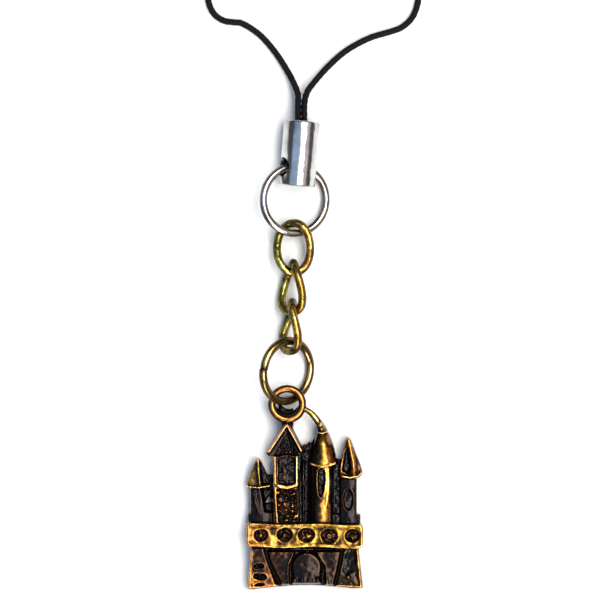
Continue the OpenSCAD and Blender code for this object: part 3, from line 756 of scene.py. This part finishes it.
def castle_relief(X, Y):
    """Height, polish and warmth of the casting's front over its plan, and the distance to
    its outline. Polish is how far tumbling has bared the metal, and in places a painted
    highlight; warmth is gold to copper."""
    base_left, base_right = -7.25 + 0.52 * Y / 5.35, 7.38 - 0.62 * Y / 5.35
    foot_y = 0.1 + 0.5 * np.clip(1 - ((X - 0.2) / 6.6) ** 2, 0, 1)
    d_base = np.maximum.reduce([base_left - X, X - base_right, foot_y - Y, Y - 5.6])
    corner = d_poly(X, Y, [(-7.2, 0.1), (7.35, 0.25), (6.9, 5.6), (-6.8, 5.6)])
    d_base = np.maximum(d_base, corner)
    wave = 0.07 * np.sin(X * 0.75 + 0.5) - 0.02 * X * 0.4
    d_band = d_box(X, Y - wave, -7.35, 7.35, 5.38, 8.42, 0.55)
    d_house = d_box(X, Y, -3.98, -0.76, 8.0, 17.4, 0.1)
    d_gable = d_poly(X, Y, [(-4.92, 17.25), (-4.6, 16.8), (-0.36, 16.95), (0.0, 17.45),
                            (-1.94, 21.2), (-2.54, 21.2)])
    d_round = d_box(X, Y, 0.47, 3.53, 8.0, 16.2, 0.05)
    cone = [(0.6, 15.9), (1.1, 15.55), (2.2, 15.4), (3.4, 15.55), (4.0, 15.95), (3.92, 16.9),
            (3.62, 18.2), (3.2, 19.3), (2.75, 20.3), (2.3, 21.0), (1.95, 21.15), (1.62, 20.6),
            (1.5, 19.6), (1.15, 18.2), (0.72, 16.9)]
    d_cone = d_poly(X, Y, cone)
    d_web = d_poly(X, Y, [(-1.2, 8.0), (0.9, 8.0), (1.6, 19.6), (1.15, 19.1), (0.75, 18.5),
                          (0.5, 18.6), (0.2, 18.25), (-0.1, 18.35), (-0.4, 17.8)])
    d_right = d_box(X, Y, 4.45, 6.55, 8.0, 14.6, 0.1)
    d_right_wall = d_box(X, Y, 3.2, 4.9, 8.0, 16.5, 0.1)
    d_left_wall = d_box(X, Y, -4.7, -3.8, 8.0, 14.5, 0.1)
    d_gap = d_poly(X, Y, [(-4.92, 10.9), (-4.07, 11.05), (-4.45, 11.95)])
    d_right_ledge = d_box(X, Y, 3.2, 7.0, 8.0, 9.55, 0.15)
    right_roof = [(4.35, 14.5), (4.6, 14.05), (5.6, 13.85), (6.8, 14.05), (7.33, 14.6),
                  (7.05, 15.6), (6.35, 17.4), (5.8, 18.9), (5.45, 19.2), (5.1, 18.8),
                  (4.75, 17.2), (4.4, 15.6)]
    d_rroof = d_poly(X, Y, right_roof)
    d_left = d_box(X, Y, -6.85, -3.9, 8.0, 13.3, 0.1)
    d_left_ledge = d_box(X, Y, -7.15, -3.9, 8.0, 9.7, 0.15)
    left_roof = [(-7.38, 13.0), (-7.15, 12.75), (-5.8, 12.65), (-4.4, 12.9), (-4.05, 13.2),
                 (-4.7, 14.6), (-5.45, 16.2), (-5.85, 16.6), (-6.2, 16.2), (-6.85, 14.6)]
    d_lroof = d_poly(X, Y, left_roof)
    d_neck = d_poly(X, Y, [(-2.9, 19.6), (-1.5, 19.6), (-1.3, 21.3), (-3.1, 21.3)])
    outline = np.minimum.reduce([d_base, d_band, d_house, d_gable, d_round, d_cone, d_web,
                                 d_right, d_right_wall, d_right_ledge, d_rroof, d_left,
                                 d_left_ledge, d_lroof, d_neck, d_left_wall])
    outline = np.maximum(outline, -d_gap)

    H = np.full(X.shape, 1.2)
    P = np.full(X.shape, 0.12)
    W = np.full(X.shape, 0.35)

    def lay(d, height, soft, polish_and_painted_highlight=None, warmth=None):
        nonlocal H, P, W
        s = within(d, soft)
        H = H + (height - H) * s
        if polish_and_painted_highlight is not None:
            P = P + (polish_and_painted_highlight - P) * s
        if warmth is not None:
            W = W + (warmth - W) * s

    rough = noise(X, Y, 0.42, 3) * 0.6 + noise(X, Y, 0.2, 4) * 0.4
    coarse = noise(X, Y, 0.75, 6)

    # the dark web between the two tall towers, with rough casting skin
    lay(d_web, 1.75 + 0.16 * rough, 0.15, 0.10)
    lay(d_box(X, Y, -0.75, 0.5, 8.3, 16.5), 1.6 + 0.12 * rough, 0.2, 0.06)
    ridge = d_line(X, Y, [(-0.12, 8.7), (-0.18, 14.2), (-0.1, 16.2)], 0.08)
    lay(ridge, 1.85 + 0.2 * rough, 0.3, 0.10)
    # left turret
    lay(d_left_ledge, 2.0, 0.2, 0.16)
    lay(d_left, 2.35 - 0.25 * ((X + 5.6) / 1.4) ** 2, 0.2, 0.14)
    lay(d_line(X, Y, [(-6.35, 12.4), (-6.1, 10.8), (-5.75, 9.7)], 0.1), 2.5, 0.35, 0.2, 0.6)
    lay(d_poly(X, Y, [(-5.35, 12.6), (-4.0, 12.6), (-4.0, 9.8), (-4.9, 9.9)]), 1.7, 0.5, 0.05)
    lay(d_box(X, Y, -4.7, -3.9, 12.9, 14.5), 1.6 + 0.12 * rough, 0.2, 0.07)
    # right wall and turret
    lay(d_right_wall, 1.6 + 0.12 * rough, 0.2, 0.07)
    lay(d_right_ledge, 1.95 + 0.08 * rough, 0.2, 0.12)
    lay(d_right, 2.35 - 0.2 * ((X - 5.5) / 1.1) ** 2, 0.2, 0.15)
    slit = d_disc(X, Y, 5.45, 11.35, 0.62, 2.1)
    lay(slit - 0.12, 2.4, 0.3, 0.12, 0.6)
    lay(slit + 0.02, 2.0 + 0.1 * rough, 0.18, 0.08)
    # house tower: stone courses, frame and window
    lay(d_house, 2.85, 0.18, 0.26, 0.5)
    joint, tone = cells(X + 0.22 * rough, Y + 0.15 * coarse, 0.92, 8, 0.8)
    block = np.clip(joint / 0.6, 0, 1)
    stone = 2.3 + 0.5 * block * (0.3 + 0.9 * tone) + 0.2 * rough
    lay(d_box(X, Y, -3.7, -0.9, 8.3, 12.8), stone, 0.15,
        0.17 + 0.27 * block * (0.45 + 0.55 * tone) + 0.08 * coarse,
        np.clip(0.75 + coarse, 0, 1))
    d_frame = d_box(X, Y, -3.98, -0.76, 12.6, 17.1, 0.2)
    lay(d_frame, 2.9 + 0.04 * rough, 0.15, 0.30, 0.7)
    bow = 0.3 * np.clip(1 - ((X + 2.2) / 1.2) ** 2, 0, 1)
    d_window = d_box(X, Y + bow * (Y < 14.5) - bow * (Y > 14.5), -3.32, -1.14, 13.5, 16.5, 0.3)
    lay(d_window - 0.14, 3.05, 0.2, 0.34, 0.6)
    lay(d_line(X, Y, [(-3.8, 13.3), (-3.1, 13.02), (-2.2, 12.9), (-1.4, 13.08), (-0.9, 13.4)],
               0.21), 3.15, 0.28, 0.74 + 0.1 * coarse, 0.6)
    lay(d_window + 0.04, 2.25 + 0.2 * rough, 0.2, 0.05)
    lay(d_disc(X, Y, -2.75, 14.1, 0.5, 0.7) + 0.3 * rough, 2.4, 0.4, 0.16, 0.2)
    lay(d_line(X, Y, [(-3.74, 13.2), (-3.78, 16.75)], 0.19 + 0.03 * rough), 3.1, 0.24,
        0.74 + 0.1 * coarse, 0.8)
    lay(d_line(X, Y, [(-3.45, 8.5), (-3.6, 11.2), (-3.72, 13.2)], 0.17 + 0.04 * rough), 3.0, 0.24,
        0.66 + 0.12 * coarse, 0.85)
    lay(d_line(X, Y, [(-0.98, 13.2), (-0.95, 16.75)], 0.19), 3.15, 0.24, 0.78 + 0.1 * coarse, 0.35)
    # neck to the eye, then the gable: a rough field under two raised copper strips
    lay(d_neck, 2.5, 0.2, 0.10, 0.3)
    pebble, ptone = cells(X + 0.1 * rough, Y, 0.5, 12)
    field = 2.45 + 0.4 * np.clip(pebble / 0.35, 0, 1) * (0.2 + ptone) + 0.1 * rough
    lay(d_gable, 2.7, 0.15, 0.2, 0.6)
    lay(d_poly(X, Y, [(-3.8, 17.0), (-0.95, 17.0), (-2.25, 19.7)]), field, 0.15,
        0.05 + 0.42 * np.clip(pebble / 0.35, 0, 1) * np.clip(ptone - 0.45, 0, 1), 0.8)
    strip = d_line(X, Y, [(-4.46, 17.36), (-2.24, 20.72), (-0.44, 17.5)], 0.21)
    lay(strip - 0.12, 2.6, 0.2, 0.06, 0.8)
    lay(strip, 3.5, 0.3, 0.68 + 0.06 * coarse, 1.0)
    # round tower: the bright gold band on its right side and the shine low in its middle are
    # painted highlights
    bulge = 1.55 * np.sqrt(np.clip(1 - ((X - 2.0) / 1.57) ** 2, 0.02, 1)) + 1.5
    band_side = within(np.abs(X - 2.85) - 0.42, 0.35)
    low_shine = within(np.abs(X - 2.05) - 0.45, 0.6) * within(Y - 11.3, 1.0)
    lay(d_round, bulge, 0.12, np.clip(0.15 + 0.6 * band_side + 0.3 * low_shine, 0, 0.9),
        0.3 + 0.5 * band_side)
    slot = [(1.62, 15.05), (1.85, 15.3), (2.25, 15.32), (2.55, 15.05), (2.62, 13.8),
            (2.5, 12.6), (2.22, 11.75), (1.95, 11.6), (1.72, 11.9), (1.6, 12.8), (1.55, 13.9)]
    d_slot = d_poly(X, Y, slot)
    lay(d_slot - 0.1, 3.12, 0.2, 0.46, 0.3)
    lay(d_slot + 0.08, 2.4 + 0.16 * rough, 0.2, 0.05)
    lay(d_line(X, Y, [(2.85, 15.3), (2.92, 13.6), (2.82, 12.2), (2.6, 10.8)], 0.3), 3.0, 0.5,
        0.80, 0.5)
    # bulging roof with its rim, collar and tip
    up = np.maximum(Y - 15.5, 0)
    half = 1.72 * np.clip(1 - (up / 5.9) ** 1.6, 0.05, 1)
    middle = 2.3 - 0.025 * up ** 1.3
    crest = np.sqrt(np.clip(1 - ((X - middle) / (half + 0.12)) ** 2, 0.01, 1))
    # the roof is brighter along its crest left of the middle, as wear and a painted highlight, and
    # turns copper towards the right
    lay(d_cone, 1.75 + 1.7 * crest * np.clip(half / 1.2, 0.45, 1), 0.14,
        np.clip(0.26 + 0.34 * within(-(X - 2.0), 0.8) * crest + 0.12 * coarse, 0, 0.85),
        np.clip(0.1 + 0.9 * (X - 2.1), 0.0, 1.0))
    lay(d_line(X, Y, [(0.75, 15.85), (1.4, 15.62), (2.3, 15.55), (3.2, 15.66), (3.85, 15.9)],
               0.15), 3.2, 0.35, 0.70, 0.4)
    lay(d_line(X, Y, [(1.55, 19.75), (2.2, 19.66), (2.85, 19.85)], 0.1), 3.2, 0.22, 0.88, 0.1)
    lay(d_disc(X, Y, 1.85, 20.75, 0.32), 3.15, 0.3, 0.85, 0.1)
    # right roof: a hollow left facet beside a bright ridge
    lay(d_rroof, 2.55, 0.15, 0.36, 0.8)
    lay(d_poly(X, Y, [(4.75, 15.0), (5.5, 14.6), (5.75, 15.3), (5.5, 17.9), (5.05, 17.3)]),
        2.0 + 0.1 * rough, 0.3, 0.08, 0.2)
    lay(d_line(X, Y, [(5.48, 18.9), (5.72, 17.6), (6.05, 16.1), (6.15, 14.7)], 0.27), 2.95, 0.5,
        0.58, 0.6)
    lay(d_line(X, Y, [(4.6, 14.3), (5.6, 14.12), (6.6, 14.3), (7.05, 14.7)], 0.14), 2.9, 0.3,
        0.72, 0.4)
    # left roof: a gold facet, a dark one, and its gutter
    lay(d_lroof, 2.35, 0.15, 0.40, 0.0)
    lay(d_poly(X, Y, [(-5.6, 16.3), (-4.2, 13.3), (-5.25, 13.3)]), 2.0 + 0.14 * rough, 0.3,
        0.08, 0.0)
    lay(d_line(X, Y, [(-5.8, 16.3), (-5.75, 14.8), (-5.6, 13.3)], 0.12), 2.65, 0.3, 0.62, 0.0)
    lay(d_line(X, Y, [(-7.15, 12.98), (-5.8, 12.86), (-4.4, 13.1)], 0.12), 2.7, 0.25, 0.66, 0.1)
    # base: corner blocks, panels, gate and door
    lay(d_base, 2.75, 0.15, 0.26, 0.5)
    grain = noise(X, Y, 0.3, 15) * 0.5 + noise(X, Y, 0.9, 16) * 0.5
    lay(d_poly(X, Y, [(-6.8, 0.6), (-3.6, 0.6), (-5.2, 5.3), (-6.5, 5.3)]), 2.95, 0.25,
        0.2 + 0.26 * within(Y - 2.4, 1.2) + 0.08 * coarse, 0.95)
    lay(d_line(X, Y, [(-1.0, 1.35), (0.5, 1.1), (1.9, 1.35)], 0.16 + 0.12 * rough),
        3.1, 0.2, 0.2, 0.1)
    for cx, cy, wide in ((-5.62, 3.1, 0.62), (-5.7, 1.75, 0.78), (-5.75, 0.72, 0.6)):
        notch = d_disc(X, Y, cx, cy, wide, 0.52) + 0.22 * coarse + 0.1 * rough
        lay(notch - 0.12, 3.05, 0.4, 0.42, 1.0)
        lay(notch + 0.05, 2.3 + 0.35 * rough, 0.3, 0.05, 0.2)
    lay(d_poly(X, Y, [(3.9, 0.6), (6.8, 0.6), (6.4, 5.3), (5.0, 5.3)]), 2.85 + 0.06 * grain,
        0.25, 0.30, 0.35)
    lay(d_disc(X, Y, 5.45, 3.6, 0.9, 1.4) + 0.3 * coarse, 2.6 + 0.1 * rough, 0.8, 0.14)
    lay(d_disc(X, Y, 5.45, 1.75, 0.22), 3.15, 0.45, 0.34, 0.0)
    for edge in ([(-6.95, 0.5), (-6.65, 5.2)], [(7.0, 0.6), (6.55, 5.2)]):
        lay(d_line(X, Y, edge, 0.17 + 0.05 * coarse), 3.05, 0.35, 0.56 + 0.1 * coarse, 0.8)
    lay(d_line(X, Y, [(-6.9, 0.42), (-4.2, 0.62), (-2.2, 0.78)], 0.12), 3.0, 0.3, 0.56, 0.9)
    lay(d_line(X, Y, [(3.4, 0.72), (5.2, 0.6), (7.0, 0.5)], 0.12), 3.0, 0.3, 0.56, 0.6)
    lay(d_line(X, Y, [(-1.6, 0.74), (0.4, 0.82), (2.6, 0.74)], 0.08), 2.5, 0.2, 0.6, 0.9)
    left_panel = [(-4.75, 5.4), (-4.4, 3.9), (-3.7, 2.2), (-2.9, 0.75), (-1.95, 0.75),
                  (-2.05, 2.2), (-1.95, 3.3), (-1.5, 4.3), (-1.05, 5.4)]
    right_panel = [(1.1, 5.4), (1.75, 4.3), (2.5, 3.2), (2.7, 2.2), (2.72, 0.75), (3.6, 0.75),
                   (4.0, 2.2), (4.35, 3.9), (4.6, 5.4)]
    for panel, inner in ((left_panel, [(-1.12, 5.3), (-1.55, 4.3), (-2.02, 3.3), (-2.1, 2.2),
                                       (-2.0, 0.8)]),
                         (right_panel, [(1.15, 5.3), (1.8, 4.3), (2.52, 3.2), (2.74, 2.2),
                                        (2.8, 0.8)])):
        d = d_poly(X, Y, panel)
        lay(d - 0.3, 2.3, 0.3, 0.06)
        lay(d, 3.0 + 0.04 * grain, 0.4, 0.22 + 0.03 * grain, 0.75)
        lay(d_line(X, Y, inner, 0.06), 3.25, 0.25, 0.44, 0.45)
    gate = [(-1.05, 5.6), (-1.45, 4.3), (-1.9, 3.3), (-1.98, 2.2), (-1.85, 0.0), (2.6, 0.0),
            (2.6, 2.2), (2.42, 3.2), (1.7, 4.3), (1.05, 5.6)]
    d_gate = d_poly(X, Y, gate)
    lay(d_gate, 1.5 + 0.1 * rough, 0.25, 0.05, 0.4)
    d_door = np.minimum(d_disc(X, Y, 0.25, 2.85, 1.84, 1.04), d_box(X, Y, -1.5, 2.0, 0.85, 2.85))
    dome = np.sqrt(np.clip(1 - ((X - 0.25) / 2.3) ** 2 * 0.8, 0.05, 1))
    lay(d_door, 1.65 + 0.65 * dome + 0.03 * grain, 0.3, 0.16 + 0.03 * grain, 0.6)
    for k, (cx, cy, r) in enumerate(((-1.25, 1.25, 0.28), (-0.55, 1.12, 0.18), (0.0, 1.3, 0.15),
                                     (0.5, 1.22, 0.17), (1.05, 1.15, 0.2), (1.62, 1.35, 0.22))):
        lay(d_disc(X, Y, cx, cy, r, 1.25), 2.4 + 0.1 * (k % 2), 0.4, 0.10, 0.0)
    lay(d_box(X, Y, -4.9, 4.9, 4.95, 5.35), 2.3 + 0.1 * rough, 0.3, 0.08)
    # parapet band
    mottle = noise(X, Y, 1.0, 19) * 0.6 + noise(X, Y, 0.45, 21) * 0.4
    warm_end = np.clip(0.35 - 0.16 * (X + 3.5), 0.15, 1)
    lay(d_band, 3.68 + 0.05 * noise(X, Y, 1.1, 18), 0.14, 0.54 + 0.12 * mottle, warm_end)
    lay(d_band + 0.45, 3.58 + 0.1 * noise(X, Y, 0.8, 20), 0.5, 0.50 + 0.22 * mottle, warm_end)
    for k, (cx, cy) in enumerate(((-5.45, 6.95), (-2.5, 6.95), (0.22, 6.98), (3.06, 6.85),
                                  (5.9, 6.93))):
        r = (0.93, 1.0, 1.06, 1.08, 0.98)[k]
        d = d_disc(X, Y, cx, cy, r, 0.9) + 0.09 * noise(X, Y, 0.7, 40 + k)
        lay(d - 0.05, 3.62, 0.4, 0.50 + 0.22 * mottle)
        lay(d + 0.14, 3.1 + 0.35 * rough, 0.4, 0.34 + 0.16 * rough, 0.8)
        lay(d_disc(X, Y, cx + 0.06 * (k % 3 - 1), cy, 0.26 + 0.08 * (k % 2)) + 0.3 * rough,
            3.45 + 0.2 * rough, 0.4, 0.30, 0.8)
    # the whole outline is rounded over, and the skin is slightly uneven
    H = H + 0.025 * noise(X, Y, 0.5, 25) + 0.03 * noise(X, Y, 1.4, 26)
    return np.minimum(H, 3.9), P, W, outline


H, P, W, D = castle_relief(X, Y)


def relief_solid():
    """The relief as one closed solid over its outline, with a flat back and rounded edges."""
    d, nx, ny = D, len(gx), len(gy)
    gxx, gyy = np.gradient(d, STEP)
    size = np.maximum(np.hypot(gxx, gyy), 0.3)
    cell = (d[:-1, :-1] < 0) | (d[1:, :-1] < 0) | (d[:-1, 1:] < 0) | (d[1:, 1:] < 0)
    used = np.zeros(d.shape, bool)
    for a in (slice(None, -1), slice(1, None)):
        for b in (slice(None, -1), slice(1, None)):
            used[a, b] |= cell
    move = np.where(used & (d > 0), d, 0) / size ** 2
    px, py = X - move * gxx, Y - move * gyy
    over, under = 0.32, 0.12
    t = np.clip(-d / over, 0, 1)
    top = H - over * (1 - np.sqrt(np.clip(1 - (1 - t) ** 2, 0, 1)))
    t2 = np.clip(-d / under, 0, 1)
    bottom = under * (1 - np.sqrt(np.clip(1 - (1 - t2) ** 2, 0, 1)))
    index = np.full(d.shape, -1)
    index[used] = np.arange(used.sum())
    n = int(used.sum())
    verts = np.concatenate([np.stack([px[used], py[used], top[used]], 1),
                            np.stack([px[used], py[used], bottom[used]], 1)])
    faces = []
    ci, cj = np.nonzero(cell)
    q = np.stack([index[ci, cj], index[ci + 1, cj], index[ci + 1, cj + 1], index[ci, cj + 1]], 1)
    faces += q.tolist()
    faces += (q[:, ::-1] + n).tolist()
    padded = np.zeros((nx + 1, ny + 1), bool)
    padded[1:-1, 1:-1] = cell
    for di, dj, a, b in ((-1, 0, (0, 1), (0, 0)), (1, 0, (1, 0), (1, 1)),
                         (0, -1, (0, 0), (1, 0)), (0, 1, (1, 1), (0, 1))):
        edge = cell & ~padded[1 + di:nx + di, 1 + dj:ny + dj]
        ei, ej = np.nonzero(edge)
        p, r = index[ei + a[0], ej + a[1]], index[ei + b[0], ej + b[1]]
        faces += np.stack([r, p, p + n, r + n], 1)[:, ::-1].tolist()
    verts[:, 1] += FOOT
    return verts, faces


def add_tube(parts, path, radius, sides=24, closed=False):
    v, f = tube(np.asarray(path, float), radius, sides, closed, round_end=0.15)
    parts.append((v, f))


EYE_C, EYE_R, EYE_WIRE = np.array((-2.2, 13.3, 2.46)), 1.92, 0.96
parts = [relief_solid()]
a = np.linspace(0, 2 * np.pi, 120, endpoint=False)
add_tube(parts, EYE_C + EYE_R * np.stack([np.cos(a), np.sin(a), 0 * a], 1),
         EYE_WIRE / 2, 28, closed=True)
stem = smooth_route([(-0.45, 12.85, 2.4), (0.15, 12.6, 2.45), (0.75, 12.2, 2.5),
                     (1.3, 11.6, 2.5), (1.75, 10.95, 2.4), (2.05, 10.2, 2.2)], 8)
add_tube(parts, stem, np.linspace(0.3, 0.48, len(stem)), 20)
for z in (1.15, 1.85):
    add_tube(parts, smooth_route([(-2.25, 11.4, z), (-2.22, 10.6, z), (-2.2, 9.8, z)], 6),
             np.full(13, 0.55), 20)
b = np.radians(np.linspace(198, 345, 40))
add_tube(parts, EYE_C + np.stack([1.45 * np.cos(b), 1.45 * np.sin(b), 0 * b - 0.45], 1),
         np.interp(np.arange(40), [0, 8, 20, 32, 39], [0.15, 0.34, 0.5, 0.34, 0.15]), 20)
b = np.radians(np.linspace(183, 318, 40))
add_tube(parts, EYE_C + np.stack([0.92 * np.cos(b), 0.95 * np.sin(b), 0 * b - 0.75], 1),
         np.interp(np.arange(40), [0, 10, 25, 39], [0.2, 0.36, 0.4, 0.15]), 20)
all_v, all_f, offset = [], [], 0
for v, f in parts:
    all_v.append(v)
    all_f += [tuple(int(i) + offset for i in face) for face in f]
    offset += len(v)
castle = make_piece("cast_castle", np.concatenate(all_v), all_f)
remesh = castle.modifiers.new("remesh", "REMESH")
remesh.mode = "VOXEL"
remesh.voxel_size = STEP * MM
apply_all(castle)
castle.data.shade_smooth()


SMOOTH_ROUNDS, FINE_STEP, BROAD_STEP = 6, 8, 44


def shaped(mesh):
    """Smooths the cast mesh a little and measures how convex each point is at two scales."""
    count = len(mesh.vertices)
    co = np.empty(count * 3)
    mesh.vertices.foreach_get("co", co)
    co = co.reshape(-1, 3) / MM
    edges = np.empty(len(mesh.edges) * 2, np.int64)
    mesh.edges.foreach_get("vertices", edges)
    i, j = edges.reshape(-1, 2).T
    near = np.bincount(i, minlength=count) + np.bincount(j, minlength=count)
    near = np.maximum(near, 1)

    def average(p):
        out = np.empty_like(p)
        for k in range(p.shape[1]):
            out[:, k] = (np.bincount(i, p[j, k], count) + np.bincount(j, p[i, k], count)) / near
        return out

    for _ in range(SMOOTH_ROUNDS):
        co = co + 0.5 * (average(co) - co)
    mesh.vertices.foreach_set("co", (co * MM).ravel())
    mesh.update()
    normal = np.empty(count * 3)
    mesh.vertex_normals.foreach_get("vector", normal)
    normal = normal.reshape(-1, 3)
    soft, convex = co.copy(), []
    for step in range(BROAD_STEP + 1):
        soft = soft + 0.7 * (average(soft) - soft)
        if step in (FINE_STEP, BROAD_STEP):
            bend = ((co - soft) * normal).sum(1, keepdims=True)
            convex.append(average(average(bend))[:, 0])
    return co, normal, convex


co, normal, (fine_bend, broad_bend) = shaped(castle.data)


def look_up(field, x, y):
    u = np.clip((x - gx[0]) / STEP, 0, len(gx) - 1.001)
    v = np.clip((y - FOOT - gy[0]) / STEP, 0, len(gy) - 1.001)
    i, j = u.astype(int), v.astype(int)
    fu, fv = u - i, v - j
    return ((field[i, j] * (1 - fu) + field[i + 1, j] * fu) * (1 - fv)
            + (field[i, j + 1] * (1 - fu) + field[i + 1, j + 1] * fu) * fv)


front = np.clip(normal[:, 2] * 2.2, 0, 1)
polish_and_painted_highlight = look_up(P, co[:, 0], co[:, 1]) * front + 0.22 * (1 - front)
warmth = look_up(W, co[:, 0], co[:, 1])
ring_d = np.hypot(co[:, 0] - EYE_C[0], co[:, 1] - EYE_C[1])
on_eye = (np.abs(ring_d - EYE_R) < EYE_WIRE * 0.62) & (co[:, 1] > 10.9)
# painted light on the eye ring: bright on its top (painted highlight), dark on its sides (painted
# shade)
polish_and_painted_highlight = np.where(on_eye, 0.03 + 0.58 * np.clip(normal[:, 2], 0, 1) ** 3, polish_and_painted_highlight)
warmth = np.where(on_eye, 0.95, warmth)
on_stem = (co[:, 0] > -0.4) & (co[:, 0] < 1.7) & (co[:, 1] > 11.05)
# painted light on the stem: bright on its top (painted highlight), dark on its sides (painted
# shade)
polish_and_painted_highlight = np.where(on_stem & ~on_eye, 0.03 + 0.7 * np.clip(normal[:, 2], 0, 1) ** 3, polish_and_painted_highlight)
warmth = np.where(on_stem & ~on_eye, 0.0, warmth)
uneven = 1 + 0.5 * noise(co[:, 0], co[:, 1], 0.8, 50) + 0.3 * noise(co[:, 0], co[:, 1], 0.3, 51)
wear_and_painted_light = np.clip(polish_and_painted_highlight + (4.2 * fine_bend + 2.4 * broad_bend) * uneven, 0, 1)
set_attribute(castle, "wear_and_painted_light", wear_and_painted_light)
set_attribute(castle, "warm", np.clip(warmth, 0, 1))
castle.data.materials.clear()
castle.data.materials.append(bronze_material())
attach(castle, "castle")
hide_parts("castle")


# ---------------------------------------------------------------- floor, light and world
def floor_material():
    n = Nodes("pale_paper")
    grain = n.noise(900.0, 3.0)
    colour = n.mix(n.span(grain, 0.3, 0.7, 0.0, 1.0), (0.975, 0.975, 0.975), (0.99, 0.99, 0.985))
    return n.finish(colour, 0.9, 0.0, n.bump(grain, 0.00001, 0.3))


floor_mesh = bpy.data.meshes.new("floor")
half = 1.2
floor_corners = [(-half, -half, 0), (half, -half, 0), (half, half, 0), (-half, half, 0)]
floor_mesh.from_pydata(floor_corners, [], [(0, 1, 2, 3)])
floor_mesh.materials.append(floor_material())
floor = bpy.data.objects.new("floor", floor_mesh)
floor.location = (0, 0.03, 0)
bpy.context.scene.collection.objects.link(floor)


def area_light(name, place, size, power, colour):
    data = bpy.data.lights.new(name, "AREA")
    data.shape = "RECTANGLE"
    data.size, data.size_y = size
    data.energy = power
    data.color = colour
    obj = bpy.data.objects.new(name, data)
    obj.location = place
    bpy.context.scene.collection.objects.link(obj)
    look_at(obj, (0, 0.03, 0))
    return obj


area_light("key", (0.165, 0.05, 0.50), (0.60, 0.24), 3.7, (1.0, 0.965, 0.90))
area_light("window", (-0.20, 0.05, 0.46), (0.60, 0.42), 0.60, (0.43, 0.66, 1.0))
area_light("bounce", (0.46, 0.05, 0.40), (0.55, 0.16), 0.24, (1.0, 0.84, 0.76))
area_light("front", (0.05, -0.50, 0.40), (0.25, 0.30), 2.0, (1.0, 0.98, 0.96))

world = bpy.data.worlds.new("studio")
bpy.context.scene.world = world
world.use_nodes = True
background = world.node_tree.nodes["Background"]
background.inputs["Color"].default_value = (0.10, 0.095, 0.095, 1.0)
background.inputs["Strength"].default_value = 1.0
bpy.context.scene.view_settings.view_transform = "Standard"
